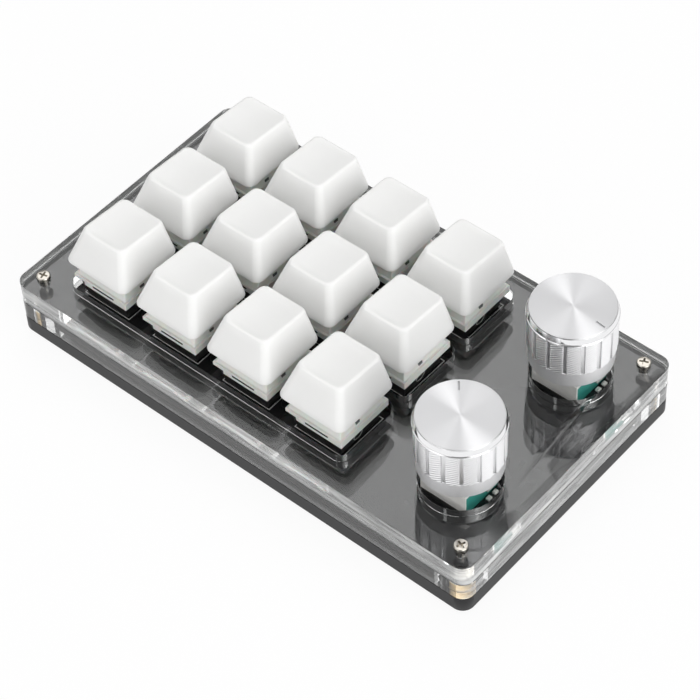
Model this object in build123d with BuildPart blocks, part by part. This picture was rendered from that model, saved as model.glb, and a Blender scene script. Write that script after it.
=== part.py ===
"""Macro keypad: twelve keys and two knobs on a clear screwed case, in millimetres."""

import os
from math import atan, degrees

from build123d import *

os.makedirs("parts", exist_ok=True)

# Case: clear cover and frame with the board between them, on a black base with feet
case_length = 129.0
case_width = 72.0
case_corner = 3.0
cover_height = 4.0
frame_height = 4.85
frame_wall = 4.5
base_height = 4.2
base_floor = 2.4
corner_block = 9.5
foot_diameter = 8.0
foot_height = 1.2
foot_inset = 13.0

# Case screws and standoffs, whose small rounds have few sides
small_sides = 6
head_sides = 12
screw_inset = 4.7
screw_diameter = 2.0
screw_hole_clearance = 0.1
cover_head_diameter = 3.2
cover_head_height = 1.2
cover_head_edge = 0.3
base_head_diameter = 3.6
base_head_height = 1.3
base_head_clearance = 0.15
standoff_diameter = 3.6
standoff_sides = 6
standoff_clearance = 0.05
thread_engagement = 2.2
recess_length = 1.7
recess_width = 0.4
recess_depth = 0.5

# Key field and its slots in the cover
key_pitch = 20.8
key_columns = 4
key_rows = 3
key_field_x = -14.45
key_field_y = 1.05
key_travel = 4.0
slot_width = 18.3
slot_corner = 2.7

# Circuit board and what is soldered under it
board_thickness = 1.6
board_inset = 0.5
board_hole_clearance = 0.1
chip_size = 7.0
chip_height = 1.4
chip_x = 33.0
chip_y = 2.2
diode_length = 2.7
diode_width = 1.6
diode_height = 1.1
diode_setback = 2.0

# Switch housings, with levels counted up from the board
switch_turn = 180.0
flange_level = 5.0
flange_size = 15.6
flange_thickness = 1.9
lower_foot_size = 12.2
lower_neck_size = 14.0
housing_height = 11.6
upper_foot_size = 14.6
upper_top_length = 11.0
upper_top_width = 9.2
housing_roof = 1.0
latch_length = 6.4
latch_height = 0.4
latch_depth = 0.8
latch_level = 0.9
latch_offset = 0.9
corner_relief = 2.9
peg_diameter = 4.0
peg_length = 3.3

# Slider, spring and contacts of a switch
slider_length = 6.4
slider_width = 5.5
slider_height = 5.5
slider_clearance = 0.2
slider_drop = 0.1
slider_stop = 0.5
rail_length = 8.8
cross_length = 4.0
cross_bar = 1.2
cross_height = 3.7
cross_clearance = 0.04
spring_diameter = 4.0
spring_wire = 0.45
spring_end_gap = 0.05
slider_bore = 4.4
guide_diameter = 2.6
guide_height = 2.4
leaf_thickness = 0.3
leaf_length = 3.6
leaf_height = 3.2
leaf_clearance = 0.05
pin_width = 0.7
first_pin = (-3.81, 3.6)
second_pin = (2.54, 5.08)

# Keycap
cap_size = 18.1
cap_corner = 1.3
cap_top_length = 12.2
cap_top_depth = 13.5
cap_top_setback = 1.66
cap_front_height = 9.0
cap_back_height = 8.0
cap_wall = 1.4
cap_roof = 1.5
cap_post_diameter = 5.5
cap_post_sides = 8
cap_skirt_drop = 0.2
dish_radius = 30.0
dish_depth = 0.6

# Knobs
knob_x = 48.0
knob_ys = (-16.75, 21.05)
knob_angles = (130.0, 140.1)
knob_hole_diameter = 18.2
knob_height = 15.4
knob_gap = 4.6
knob_diameter = 20.0
knob_ring_height = 2.0
knob_face_diameter = 18.7
knob_skirt_diameter = 18.8
knob_skirt_height = 4.0
knob_grooves = 16
knob_groove_width = 0.8
knob_groove_depth = 0.45
knob_recess_diameter = 15.0
pointer_angles = (130.7, -5.5)
pointer_length = 2.4
pointer_width = 0.6
pointer_depth = 0.3
pointer_inset = 0.5

# Rotary encoders under the knobs, with levels counted up from the board
encoder_size = 12.0
encoder_height = 7.0
encoder_lid = 0.8
encoder_flap = 0.5
encoder_flap_level = 1.5
encoder_leg_width = 3.4
encoder_leg_offset = 3.2
encoder_floor = 1.2
bushing_diameter = 7.0
bushing_height = 5.0
shaft_diameter = 6.0
shaft_length = 15.0
shaft_clearance = 0.03
shaft_flat = 1.5
shaft_flat_length = 9.0
collar_diameter = 7.6
collar_thickness = 0.45
collar_gap = 0.05
push_travel = 0.5
push_clearance = 0.3
rotor_diameter = 9.6
rotor_thickness = 1.7
rotor_level = 3.3
rotor_pocket_diameter = 10.2
tang_size = 3.0
tang_clearance = 0.05
tang_well_diameter = 6.0
grub_diameter = 3.0
grub_length = 4.5
grub_height = 7.5
grub_clearance = 0.05

# USB socket under the back edge of the board
usb_x = -14.45
usb_width = 8.94
usb_height = 3.2
usb_depth = 7.35
usb_shell = 0.3
usb_back_wall = 1.2
usb_corner = 1.3
usb_setback = 0.4
usb_notch_clearance = 0.3
usb_tongue_width = 6.7
usb_tongue_thickness = 0.7
usb_tongue_length = 4.6

# Levels above the desk
base_bottom = foot_height
base_top = base_bottom + base_height
board_bottom = base_top + frame_height
board_top = board_bottom + board_thickness
deck = board_top + cover_height

# Plan of the space inside the frame
cavity_length = case_length - 2 * frame_wall
cavity_width = case_width - 2 * frame_wall
cavity_notch = corner_block - frame_wall

key_centres = [
    (key_field_x + (column - (key_columns - 1) / 2) * key_pitch,
     key_field_y + ((key_rows - 1) / 2 - row) * key_pitch)
    for row in range(key_rows)
    for column in range(key_columns)
]
switch_places = [Location((x, y, 0), (0, 0, switch_turn)) for x, y in key_centres]
knob_centres = [(knob_x, y) for y in knob_ys]
screw_span_x = case_length - 2 * screw_inset
screw_span_y = case_width - 2 * screw_inset
screw_hole = screw_diameter + 2 * screw_hole_clearance
pin_slot_length = pin_width + 2 * board_hole_clearance
pin_slot_width = leaf_thickness + 2 * board_hole_clearance
usb_bottom = board_bottom - usb_height

# Levels of a switch and its cap
flange_bottom = board_top + flange_level
flange_top = flange_bottom + flange_thickness
housing_top = board_top + housing_height
shoulder = housing_top - slider_drop
slider_bottom = shoulder - slider_height
well_floor = slider_bottom - key_travel - slider_stop
rail_top = housing_top - housing_roof - slider_drop
cap_bottom = shoulder - cap_skirt_drop
lower_taper = degrees(atan((lower_neck_size - lower_foot_size) / 2 / flange_level))
well_length = rail_length + 2 * slider_clearance
well_width = slider_width + 2 * slider_clearance
leaf_pocket_left = first_pin[0] - pin_width / 2 - leaf_clearance
leaf_pocket_length = second_pin[0] + pin_width / 2 + leaf_clearance - leaf_pocket_left
leaf_pocket_depth = second_pin[1] + leaf_thickness / 2 + leaf_clearance
leaf_centres = [
    (first_pin[0] + (leaf_length - pin_width) / 2, first_pin[1]),
    (second_pin[0] - (leaf_length - pin_width) / 2, second_pin[1]),
]

# Levels of an encoder and its knob
lid_top = board_top + encoder_height
lid_bottom = lid_top - encoder_lid
bushing_top = lid_top + bushing_height
shaft_top = lid_top + shaft_length
collar_bottom = lid_bottom - collar_gap - collar_thickness
rotor_bottom = board_top + rotor_level
tang_bottom = board_top + encoder_floor + push_travel + push_clearance
knob_bottom = deck + knob_gap
knob_top = knob_bottom + knob_height
band_bottom = knob_bottom + knob_skirt_height
ring_bottom = knob_top - knob_ring_height
pointer_radius = knob_face_diameter / 2 - pointer_inset - pointer_length / 2


def finish(part, name):
    """Label a finished piece and write it."""
    part.label = name
    export_step(part, f"parts/{name}.step")


def cavity_plan():
    """Draw the space inside the frame, square notches at its corners."""
    Rectangle(cavity_length, cavity_width)
    with GridLocations(cavity_length, cavity_width, 2, 2):
        Rectangle(2 * cavity_notch, 2 * cavity_notch, mode=Mode.SUBTRACT)


def trapezium(low_width, low_level, high_width, high_level, shift=0.0):
    """Draw a side view that tapers from one width and level to another, its top moved by shift."""
    Polygon(
        (-low_width / 2, low_level),
        (low_width / 2, low_level),
        (shift + high_width / 2, high_level),
        (shift - high_width / 2, high_level),
        align=None,
    )


def small_round(diameter, sides=small_sides):
    """Draw a small or hidden round as a polygon of few sides."""
    RegularPolygon(diameter / 2, sides)


def small_hole(diameter, sides=small_sides):
    """Cut a small or hidden round from the sketch."""
    RegularPolygon(diameter / 2, sides, mode=Mode.SUBTRACT)


def cross_plan(length, bar):
    """Draw a plus sign of two equal bars."""
    Rectangle(length, bar)
    Rectangle(bar, length)


# Base plate with its pocket and counterbored screw holes
with BuildPart() as base_plate:
    with BuildSketch(Plane.XY.offset(base_bottom)):
        RectangleRounded(case_length, case_width, case_corner)
    extrude(amount=base_height)
    with BuildSketch(Plane.XY.offset(base_bottom + base_floor)):
        cavity_plan()
    extrude(amount=base_height - base_floor, mode=Mode.SUBTRACT)
    with BuildSketch(Plane.XY.offset(base_bottom)):
        with GridLocations(screw_span_x, screw_span_y, 2, 2):
            small_round(base_head_diameter + 2 * base_head_clearance, head_sides)
    extrude(amount=base_head_height, mode=Mode.SUBTRACT)
    with BuildSketch(Plane.XY.offset(base_bottom)):
        with GridLocations(screw_span_x, screw_span_y, 2, 2):
            small_round(screw_hole)
    extrude(amount=base_height, mode=Mode.SUBTRACT)
finish(base_plate.part, "base_plate")

# Rubber feet under the base
with BuildPart() as rubber_feet:
    with BuildSketch():
        with GridLocations(case_length - 2 * foot_inset, case_width - 2 * foot_inset, 2, 2):
            small_round(foot_diameter, head_sides)
    extrude(amount=foot_height)
finish(rubber_feet.part, "rubber_feet")

# Clear frame: a ring with solid corners and a notch for the socket
with BuildPart() as middle_frame:
    with BuildSketch(Plane.XY.offset(base_top)):
        RectangleRounded(case_length, case_width, case_corner)
    extrude(amount=frame_height)
    with BuildSketch(Plane.XY.offset(base_top)):
        cavity_plan()
    extrude(amount=frame_height, mode=Mode.SUBTRACT)
    with BuildSketch(Plane.XY.offset(usb_bottom - usb_notch_clearance)):
        with Locations((usb_x, case_width / 2)):
            Rectangle(usb_width + 2 * usb_notch_clearance, 2 * (frame_wall + usb_notch_clearance))
    extrude(amount=usb_height + usb_notch_clearance, mode=Mode.SUBTRACT)
    with BuildSketch(Plane.XY.offset(base_top)):
        with GridLocations(screw_span_x, screw_span_y, 2, 2):
            small_round(standoff_diameter + 2 * standoff_clearance, standoff_sides)
    extrude(amount=frame_height, mode=Mode.SUBTRACT)
finish(middle_frame.part, "middle_frame")

# Clear cover: a plate with three key slots, two knob holes and the screw holes through it
with BuildPart() as top_cover:
    with BuildSketch(Plane.XY.offset(board_top)):
        RectangleRounded(case_length, case_width, case_corner)
        with Locations((key_field_x, key_field_y)):
            with GridLocations(0, key_pitch, 1, key_rows):
                RectangleRounded(
                    (key_columns - 1) * key_pitch + slot_width, slot_width, slot_corner, mode=Mode.SUBTRACT
                )
        with Locations(*knob_centres):
            Circle(knob_hole_diameter / 2, mode=Mode.SUBTRACT)
        with GridLocations(screw_span_x, screw_span_y, 2, 2):
            small_hole(screw_hole)
    extrude(amount=cover_height)
finish(top_cover.part, "top_cover")

# Brass hexagonal standoffs in the frame's corners
with BuildPart() as standoffs:
    with BuildSketch(Plane.XY.offset(base_top)):
        with GridLocations(screw_span_x, screw_span_y, 2, 2):
            small_round(standoff_diameter, standoff_sides)
            small_hole(screw_diameter + 2 * standoff_clearance)
    extrude(amount=frame_height)
finish(standoffs.part, "standoffs")

# Cover screws: domed heads on the deck, shanks through the cover and board into the standoffs
with BuildPart() as cover_screw:
    with BuildSketch(Plane.XY.offset(deck)):
        small_round(cover_head_diameter, head_sides)
    extrude(amount=cover_head_height)
    chamfer(cover_screw.faces().sort_by(Axis.Z)[-1].edges(), cover_head_edge)
    with BuildSketch(Plane.XY.offset(deck)):
        small_round(screw_diameter)
    extrude(amount=-(cover_height + board_thickness + thread_engagement))
    with BuildSketch(Plane.XY.offset(deck + cover_head_height)):
        cross_plan(recess_length, recess_width)
    extrude(amount=-recess_depth, mode=Mode.SUBTRACT)
with BuildPart() as cover_screws:
    with GridLocations(screw_span_x, screw_span_y, 2, 2):
        add(cover_screw.part)
finish(cover_screws.part, "cover_screws")

# Base screws: flat heads sunk in the base, shanks up into the standoffs
with BuildPart() as base_screw:
    with BuildSketch(Plane.XY.offset(base_bottom)):
        small_round(base_head_diameter, head_sides)
    extrude(amount=base_head_height)
    with BuildSketch(Plane.XY.offset(base_bottom + base_head_height)):
        small_round(screw_diameter)
    extrude(amount=base_height - base_head_height + thread_engagement)
with BuildPart() as base_screws:
    with GridLocations(screw_span_x, screw_span_y, 2, 2):
        add(base_screw.part)
finish(base_screws.part, "base_screws")

# Circuit board with holes for the screws and for the pegs and pins of the switches
with BuildPart() as circuit_board:
    with BuildSketch(Plane.XY.offset(board_bottom)):
        RectangleRounded(
            case_length - 2 * board_inset, case_width - 2 * board_inset, case_corner - board_inset
        )
        with GridLocations(screw_span_x, screw_span_y, 2, 2):
            small_hole(screw_hole)
        with Locations(*switch_places):
            small_hole(peg_diameter + 2 * board_hole_clearance)
            with Locations(first_pin, second_pin):
                Rectangle(pin_slot_length, pin_slot_width, mode=Mode.SUBTRACT)
    extrude(amount=board_thickness)
finish(circuit_board.part, "circuit_board")

# Controller and diodes soldered under the board
with BuildPart() as board_components:
    with BuildSketch(Plane.XY.offset(board_bottom)):
        with Locations((chip_x, chip_y)):
            Rectangle(chip_size, chip_size)
    extrude(amount=-chip_height)
    with BuildSketch(Plane.XY.offset(board_bottom)):
        with Locations(*[(x + key_pitch / 2, y - diode_setback) for x, y in key_centres]):
            Rectangle(diode_width, diode_length)
    extrude(amount=-diode_height)
finish(board_components.part, "board_components")

# USB socket: a rounded shell with a tongue in its mouth, opening at the back
usb_mouth = Plane(
    origin=(usb_x, case_width / 2 - usb_setback, board_bottom - usb_height / 2),
    x_dir=(1, 0, 0),
    z_dir=(0, 1, 0),
)
with BuildPart() as usb_socket:
    with BuildSketch(usb_mouth):
        RectangleRounded(usb_width, usb_height, usb_corner)
    extrude(amount=-usb_depth)
    with BuildSketch(usb_mouth):
        RectangleRounded(usb_width - 2 * usb_shell, usb_height - 2 * usb_shell, usb_corner - usb_shell)
    extrude(amount=-(usb_depth - usb_back_wall), mode=Mode.SUBTRACT)
    with BuildSketch(usb_mouth.offset(-(usb_depth - usb_back_wall))):
        Rectangle(usb_tongue_width, usb_tongue_thickness)
    extrude(amount=usb_tongue_length)
finish(usb_socket.part, "usb_socket")

# Lower housing of a switch: tapered body, peg, slider well, spring guide and leaf pocket
with BuildPart() as lower_housing:
    with BuildSketch(Plane.XY.offset(board_top)):
        Rectangle(lower_foot_size, lower_foot_size)
    extrude(amount=flange_level, taper=-lower_taper)
    with BuildSketch(Plane.XY.offset(well_floor)):
        Rectangle(well_length, well_width)
        with Locations((leaf_pocket_left, 0)):
            Rectangle(leaf_pocket_length, leaf_pocket_depth, align=Align.MIN)
    extrude(amount=flange_bottom - well_floor, mode=Mode.SUBTRACT)
    with BuildSketch(Plane.XY.offset(well_floor)):
        small_round(guide_diameter)
    extrude(amount=guide_height)
    with BuildSketch(Plane.XY.offset(board_top)):
        small_round(peg_diameter)
    extrude(amount=-peg_length)
    with BuildSketch(Plane.XY.offset(board_top)):
        with Locations(first_pin, second_pin):
            Rectangle(pin_width + 2 * leaf_clearance, leaf_thickness + 2 * leaf_clearance)
    extrude(amount=well_floor - board_top, mode=Mode.SUBTRACT)
with BuildPart() as switch_lower_housings:
    with Locations(*switch_places):
        add(lower_housing.part)
finish(switch_lower_housings.part, "switch_lower_housings")

# Upper housing of a switch: relieved flange with latch slits, tapered cap above it, slider passage
with BuildPart() as upper_housing:
    with BuildSketch(Plane.XZ):
        trapezium(upper_foot_size, flange_top, upper_top_length, housing_top)
    extrude(amount=upper_foot_size, both=True)
    with BuildSketch(Plane.YZ):
        trapezium(upper_foot_size, flange_top, upper_top_width, housing_top)
    extrude(amount=upper_foot_size, both=True, mode=Mode.INTERSECT)
    with BuildSketch(Plane.XY.offset(flange_bottom)):
        Rectangle(flange_size, flange_size)
    extrude(amount=flange_thickness)
    with BuildSketch(Plane.XY.offset(flange_bottom)):
        with Locations((-flange_size / 2, 0)):
            with GridLocations(0, flange_size, 1, 2):
                Rectangle(2 * corner_relief, 2 * corner_relief)
    extrude(amount=latch_level, mode=Mode.SUBTRACT)
    with BuildSketch(Plane.XY.offset(flange_bottom)):
        Rectangle(well_length, well_width)
    extrude(amount=housing_top - housing_roof - flange_bottom, mode=Mode.SUBTRACT)
    with BuildSketch(Plane.XY.offset(flange_bottom)):
        Rectangle(slider_length + 2 * slider_clearance, well_width)
    extrude(amount=housing_top - flange_bottom, mode=Mode.SUBTRACT)
    with BuildSketch(Plane.XY.offset(flange_bottom + latch_level)):
        with Locations((latch_offset, 0)):
            with GridLocations(0, flange_size, 1, 2):
                Rectangle(latch_length, 2 * latch_depth)
    extrude(amount=latch_height, mode=Mode.SUBTRACT)
with BuildPart() as switch_upper_housings:
    with Locations(*key_centres):
        add(upper_housing.part)
finish(switch_upper_housings.part, "switch_upper_housings")

# Contact leaves of the switches, each with its pin through the board
with BuildPart() as contact_pair:
    with BuildSketch(Plane.XY.offset(well_floor)):
        with Locations(*leaf_centres):
            Rectangle(leaf_length, leaf_thickness)
    extrude(amount=leaf_height)
    with BuildSketch(Plane.XY.offset(board_top - peg_length)):
        with Locations(first_pin, second_pin):
            Rectangle(pin_width, leaf_thickness)
    extrude(amount=peg_length + well_floor - board_top)
with BuildPart() as switch_contacts:
    with Locations(*switch_places):
        add(contact_pair.part)
finish(switch_contacts.part, "switch_contacts")

# Stem of a switch: slider with rails, spring bore below and the cross that carries the cap
with BuildPart() as stem:
    with BuildSketch(Plane.XY.offset(slider_bottom)):
        Rectangle(slider_length, slider_width)
    extrude(amount=slider_height)
    with BuildSketch(Plane.XY.offset(slider_bottom)):
        Rectangle(rail_length, slider_width)
    extrude(amount=rail_top - slider_bottom)
    with BuildSketch(Plane.XY.offset(slider_bottom)):
        small_round(slider_bore)
    extrude(amount=rail_top - slider_bottom, mode=Mode.SUBTRACT)
    with BuildSketch(Plane.XY.offset(shoulder)):
        cross_plan(cross_length, cross_bar)
    extrude(amount=cross_height)

# Return spring of a switch, drawn as a plain sleeve between the well floor and the slider
with BuildPart() as spring:
    with BuildSketch(Plane.XY.offset(well_floor + spring_end_gap)):
        small_round(spring_diameter)
        small_hole(spring_diameter - 2 * spring_wire)
    extrude(amount=rail_top - well_floor - 2 * spring_end_gap)

# Keycap: tapered, dished on top, set back from the front, hollow, with a post for the stem's cross
cap_slope = (cap_front_height - cap_back_height) / cap_top_depth
cap_middle_height = (cap_front_height + cap_back_height) / 2
cap_dish_plane = Plane(
    origin=(0, cap_top_setback, cap_bottom + cap_middle_height),
    x_dir=(1, 0, 0),
    z_dir=(0, -1, cap_slope),
)
cap_taper = (cap_size - cap_top_length) / cap_middle_height
cap_crest_length = cap_size - cap_taper * cap_front_height
cap_hollow_height = cap_back_height - cap_roof
hollow_top = cap_bottom + cap_hollow_height
hollow_share = cap_hollow_height / cap_middle_height
hollow_mouth = cap_size - 2 * cap_wall
hollow_top_length = hollow_mouth - cap_taper * cap_hollow_height
hollow_top_depth = hollow_mouth - (cap_size - cap_top_depth) * hollow_share
with BuildPart() as cap_hollow:
    with BuildSketch(Plane.XZ):
        trapezium(hollow_mouth, cap_bottom, hollow_top_length, hollow_top)
    extrude(amount=cap_size, both=True)
    with BuildSketch(Plane.YZ):
        trapezium(hollow_mouth, cap_bottom, hollow_top_depth, hollow_top, cap_top_setback * hollow_share)
    extrude(amount=cap_size, both=True, mode=Mode.INTERSECT)
with BuildPart() as keycap:
    with BuildSketch(Plane.YZ):
        Polygon(
            (-cap_size / 2, cap_bottom),
            (cap_size / 2, cap_bottom),
            (cap_top_setback + cap_top_depth / 2, cap_bottom + cap_back_height),
            (cap_top_setback - cap_top_depth / 2, cap_bottom + cap_front_height),
            align=None,
        )
    extrude(amount=cap_size, both=True)
    with BuildSketch(Plane.XZ):
        trapezium(cap_size, cap_bottom, cap_crest_length, cap_bottom + cap_front_height)
    extrude(amount=cap_size, both=True, mode=Mode.INTERSECT)
    cap_ends = keycap.faces().sort_by(Axis.Z)
    chamfer(keycap.edges() - cap_ends[0].edges() - cap_ends[-1].edges(), cap_corner)
    with BuildSketch(cap_dish_plane):
        with Locations((0, dish_radius - dish_depth)):
            Circle(dish_radius)
    extrude(amount=cap_size, both=True, mode=Mode.SUBTRACT)
    add(cap_hollow.part, mode=Mode.SUBTRACT)
    with BuildSketch(Plane.XY.offset(shoulder)):
        small_round(cap_post_diameter, cap_post_sides)
    extrude(amount=hollow_top - shoulder)
    with BuildSketch(Plane.XY.offset(shoulder)):
        cross_plan(cross_length + 2 * cross_clearance, cross_bar + 2 * cross_clearance)
    extrude(amount=cross_height, mode=Mode.SUBTRACT)

# Every key has its own cap, stem and spring
for number, centre in enumerate(key_centres, start=1):
    for piece, name in ((keycap, "keycap"), (stem, "stem"), (spring, "spring")):
        with BuildPart() as placed:
            with Locations(centre):
                add(piece.part)
        finish(placed.part, f"{name}_{number:02d}")

# Encoder body: a block with a round pocket for the rotor and a well for the shaft's tang
with BuildPart() as encoder_base:
    with BuildSketch(Plane.XY.offset(board_top)):
        Rectangle(encoder_size - 2 * encoder_flap, encoder_size - 2 * encoder_flap)
    extrude(amount=encoder_height - encoder_lid)
    with BuildSketch(Plane.XY.offset(rotor_bottom)):
        small_round(rotor_pocket_diameter, head_sides)
    extrude(amount=lid_bottom - rotor_bottom, mode=Mode.SUBTRACT)
    with BuildSketch(Plane.XY.offset(board_top + encoder_floor)):
        small_round(tang_well_diameter)
    extrude(amount=rotor_bottom - board_top - encoder_floor, mode=Mode.SUBTRACT)
with BuildPart() as encoder_bases:
    with Locations(*knob_centres):
        add(encoder_base.part)
finish(encoder_bases.part, "encoder_bases")

# Encoder cover: a folded lid with flaps, side legs and the bushing that carries the shaft
with BuildPart() as encoder_cover:
    with BuildSketch(Plane.XY.offset(lid_bottom)):
        Rectangle(encoder_size, encoder_size)
    extrude(amount=encoder_lid)
    with BuildSketch(Plane.XY.offset(board_top + encoder_flap_level)):
        with GridLocations(0, encoder_size - encoder_flap, 1, 2):
            Rectangle(encoder_size, encoder_flap)
        with Locations((0, encoder_leg_offset)):
            with GridLocations(encoder_size - encoder_flap, 0, 2, 1):
                Rectangle(encoder_flap, encoder_leg_width)
    extrude(amount=lid_bottom - board_top - encoder_flap_level)
    with BuildSketch(Plane.XY.offset(lid_top)):
        small_round(bushing_diameter, head_sides)
    extrude(amount=bushing_height)
    with BuildSketch(Plane.XY.offset(lid_bottom)):
        Circle(shaft_diameter / 2 + shaft_clearance)
    extrude(amount=encoder_lid + bushing_height, mode=Mode.SUBTRACT)
with BuildPart() as encoder_covers:
    with Locations(*knob_centres):
        add(encoder_cover.part)
finish(encoder_covers.part, "encoder_covers")

# Rotor: a disc that the shaft's square tang slides through
with BuildPart() as encoder_rotor:
    with BuildSketch(Plane.XY.offset(rotor_bottom)):
        Circle(rotor_diameter / 2)
        Rectangle(tang_size + 2 * tang_clearance, tang_size + 2 * tang_clearance, mode=Mode.SUBTRACT)
    extrude(amount=rotor_thickness)

# Shaft: square tang, collar under the lid, round stem with a flat for the grub screw
with BuildPart() as encoder_shaft:
    with BuildSketch(Plane.XY.offset(tang_bottom)):
        Rectangle(tang_size, tang_size)
    extrude(amount=collar_bottom - tang_bottom)
    with BuildSketch(Plane.XY.offset(collar_bottom)):
        small_round(collar_diameter, head_sides)
    extrude(amount=collar_thickness)
    with BuildSketch(Plane.XY.offset(collar_bottom + collar_thickness)):
        Circle(shaft_diameter / 2)
    extrude(amount=shaft_top - collar_bottom - collar_thickness)
    with BuildSketch(Plane.XY.offset(shaft_top)):
        with Locations((shaft_diameter / 2, 0)):
            Rectangle(2 * shaft_flat, shaft_diameter)
    extrude(amount=-shaft_flat_length, mode=Mode.SUBTRACT)

# Knob: turned profile with a conical ring at the top, grooves round the band, a stepped bore below
grub_axis = Plane(
    origin=(shaft_diameter / 2 - shaft_flat, 0, knob_bottom + grub_height),
    x_dir=(0, 1, 0),
    z_dir=(1, 0, 0),
)
with BuildPart() as knob:
    with BuildSketch(Plane.XZ):
        with BuildLine():
            Polyline(
                (0, knob_bottom),
                (knob_skirt_diameter / 2, knob_bottom),
                (knob_skirt_diameter / 2, band_bottom),
                (knob_diameter / 2, band_bottom),
                (knob_diameter / 2, ring_bottom),
                (knob_face_diameter / 2, knob_top),
                (0, knob_top),
                close=True,
            )
        make_face()
    revolve(axis=Axis.Z)
    with BuildSketch(Plane.XY.offset(band_bottom)):
        with PolarLocations(knob_diameter / 2, knob_grooves):
            Rectangle(2 * knob_groove_depth, knob_groove_width)
    extrude(amount=ring_bottom - band_bottom, mode=Mode.SUBTRACT)
    with BuildSketch(Plane.XY.offset(knob_bottom)):
        small_round(knob_recess_diameter, head_sides)
    extrude(amount=bushing_top + push_travel + push_clearance - knob_bottom, mode=Mode.SUBTRACT)
    with BuildSketch(Plane.XY.offset(knob_bottom)):
        Circle(shaft_diameter / 2 + shaft_clearance)
    extrude(amount=shaft_top - knob_bottom, mode=Mode.SUBTRACT)
    with BuildSketch(grub_axis):
        small_round(grub_diameter + 2 * grub_clearance)
    extrude(amount=knob_diameter / 2, mode=Mode.SUBTRACT)

# Grub screw that bears on the flat of the shaft
with BuildPart() as grub_screw:
    with BuildSketch(grub_axis):
        small_round(grub_diameter)
    extrude(amount=grub_length)

# Each encoder has its own rotor, shaft and grub screw, and a knob with a pointer groove in its face
spun_pieces = (
    (encoder_rotor, "encoder_rotor"),
    (encoder_shaft, "encoder_shaft"),
    (grub_screw, "knob_grub_screw"),
)
for place, centre, angle, pointer in zip(("front", "rear"), knob_centres, knob_angles, pointer_angles):
    for piece, name in spun_pieces:
        with BuildPart() as placed:
            with Locations(Location((*centre, 0), (0, 0, angle))):
                add(piece.part)
        finish(placed.part, f"{name}_{place}")
    with BuildPart() as pointed_knob:
        with Locations(Location((*centre, 0), (0, 0, angle))):
            add(knob.part)
        with BuildSketch(Plane.XY.offset(knob_top)):
            with Locations(Location((*centre, 0), (0, 0, pointer))):
                with Locations((pointer_radius, 0)):
                    Rectangle(pointer_length, pointer_width)
        extrude(amount=-pointer_depth, mode=Mode.SUBTRACT)
    finish(pointed_knob.part, f"knob_{place}")
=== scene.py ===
import math

import bmesh
import bpy
from mathutils import Matrix, Vector


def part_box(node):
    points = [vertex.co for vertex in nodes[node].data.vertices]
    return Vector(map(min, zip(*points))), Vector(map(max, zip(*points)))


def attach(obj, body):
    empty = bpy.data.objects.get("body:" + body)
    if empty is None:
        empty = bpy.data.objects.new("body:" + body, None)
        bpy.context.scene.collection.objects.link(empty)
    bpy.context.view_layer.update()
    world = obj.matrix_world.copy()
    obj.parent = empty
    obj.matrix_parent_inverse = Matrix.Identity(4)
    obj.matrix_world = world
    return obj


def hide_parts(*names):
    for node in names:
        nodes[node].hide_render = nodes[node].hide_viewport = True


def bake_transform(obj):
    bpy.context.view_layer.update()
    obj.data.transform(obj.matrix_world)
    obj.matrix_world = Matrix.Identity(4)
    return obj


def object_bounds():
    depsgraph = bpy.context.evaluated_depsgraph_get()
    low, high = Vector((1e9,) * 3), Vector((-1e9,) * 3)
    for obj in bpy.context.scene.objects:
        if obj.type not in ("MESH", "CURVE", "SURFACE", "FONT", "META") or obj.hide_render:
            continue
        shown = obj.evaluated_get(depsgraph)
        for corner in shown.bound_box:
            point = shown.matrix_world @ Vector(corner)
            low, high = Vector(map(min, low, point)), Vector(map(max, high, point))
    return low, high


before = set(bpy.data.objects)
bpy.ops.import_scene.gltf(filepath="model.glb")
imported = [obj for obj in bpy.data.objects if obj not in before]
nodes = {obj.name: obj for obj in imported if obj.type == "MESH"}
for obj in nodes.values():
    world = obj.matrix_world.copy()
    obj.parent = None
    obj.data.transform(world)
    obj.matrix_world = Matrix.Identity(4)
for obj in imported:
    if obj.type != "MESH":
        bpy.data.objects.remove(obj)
cad_low, cad_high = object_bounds()
MM = 0.001

# Places taken from the frame
cover_low, cover_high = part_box("top_cover")
board_low, board_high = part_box("circuit_board")
frame_low, frame_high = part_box("middle_frame")
deck = cover_high.z
board_top = board_high.z
KEYS = [f"{n:02d}" for n in range(1, 13)]
KNOBS = ("front", "rear")


def middle(node):
    """Centre of a node in plan, with its lowest level."""
    low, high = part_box(node)
    return Vector(((low.x + high.x) / 2, (low.y + high.y) / 2, low.z))


# Camera of the photo, measured from the centre of the deck
CAMERA_AZIMUTH = math.radians(42.837)
CAMERA_ELEVATION = math.radians(49.087)
CAMERA_ROLL = math.radians(-3.285)
CAMERA_SHIFT = Vector((-2.667, 6.388, -585.672)) * MM
CAMERA_LENS = 137.377
SENSOR = 36.0

# Keycap
CAP_SIZE = 18.1 * MM
CAP_TOP_LENGTH = 12.2 * MM
CAP_TOP_DEPTH = 13.5 * MM
CAP_SETBACK = 1.66 * MM
CAP_FRONT = 9.0 * MM
CAP_BACK = 8.0 * MM
CAP_LOW_CORNER = 2.0 * MM
CAP_TOP_CORNER = 1.7 * MM
CAP_EDGE = 0.65 * MM
CAP_DISH = 0.55 * MM
CAP_WALL = 1.4 * MM
CAP_HOLLOW = 6.5 * MM

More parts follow.
